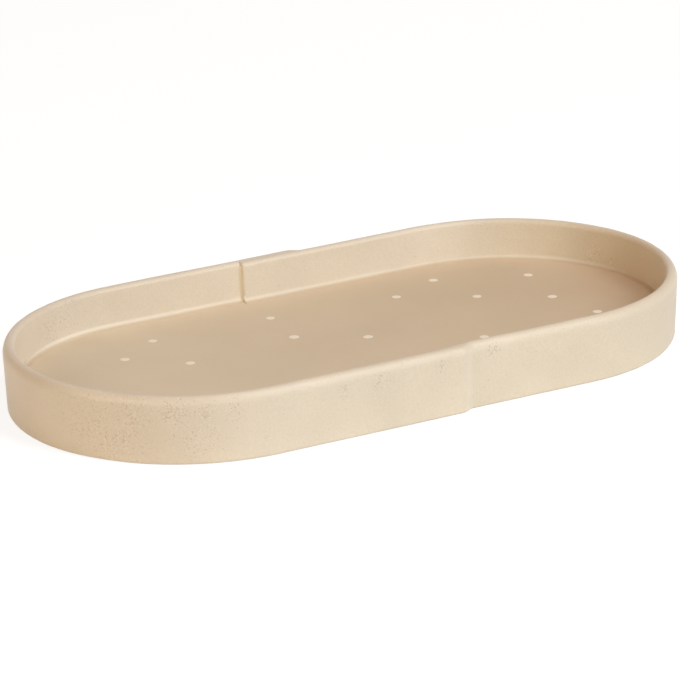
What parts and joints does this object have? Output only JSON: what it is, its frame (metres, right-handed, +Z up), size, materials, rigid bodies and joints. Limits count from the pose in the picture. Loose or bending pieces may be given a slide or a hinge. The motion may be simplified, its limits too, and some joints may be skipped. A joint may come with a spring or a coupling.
{
  "type": "soap dish",
  "caption": "Long oval stoneware soap dish: two lapped wall bands round a raised floor with scattered dots of pale slip.",
  "frame": {"origin": "centre of the overall length and width, on the plane that the walls stand on", "axes": "+X along the dish towards the end with the narrower, inner band; +Y towards the back, where the long lap is; +Z up"},
  "size_m": [0.2298, 0.1178, 0.0221],
  "materials": {
    "stoneware_wall": "matte, speckled",
    "stoneware_floor": "matte, sponged smooth",
    "stoneware_coil": "matte, sponged smooth",
    "slip_pale": "matte pale slip"
  },
  "bodies": {
    "root": {"left_wall_band": "stoneware_wall", "right_wall_band": "stoneware_wall", "floor_plate": "stoneware_floor", "slip_dots": "slip_pale", "left_corner_coil": "stoneware_coil", "right_corner_coil": "stoneware_coil", "left_ledge_coil": "stoneware_coil", "right_ledge_coil": "stoneware_coil"}
  },
  "joints": []
}
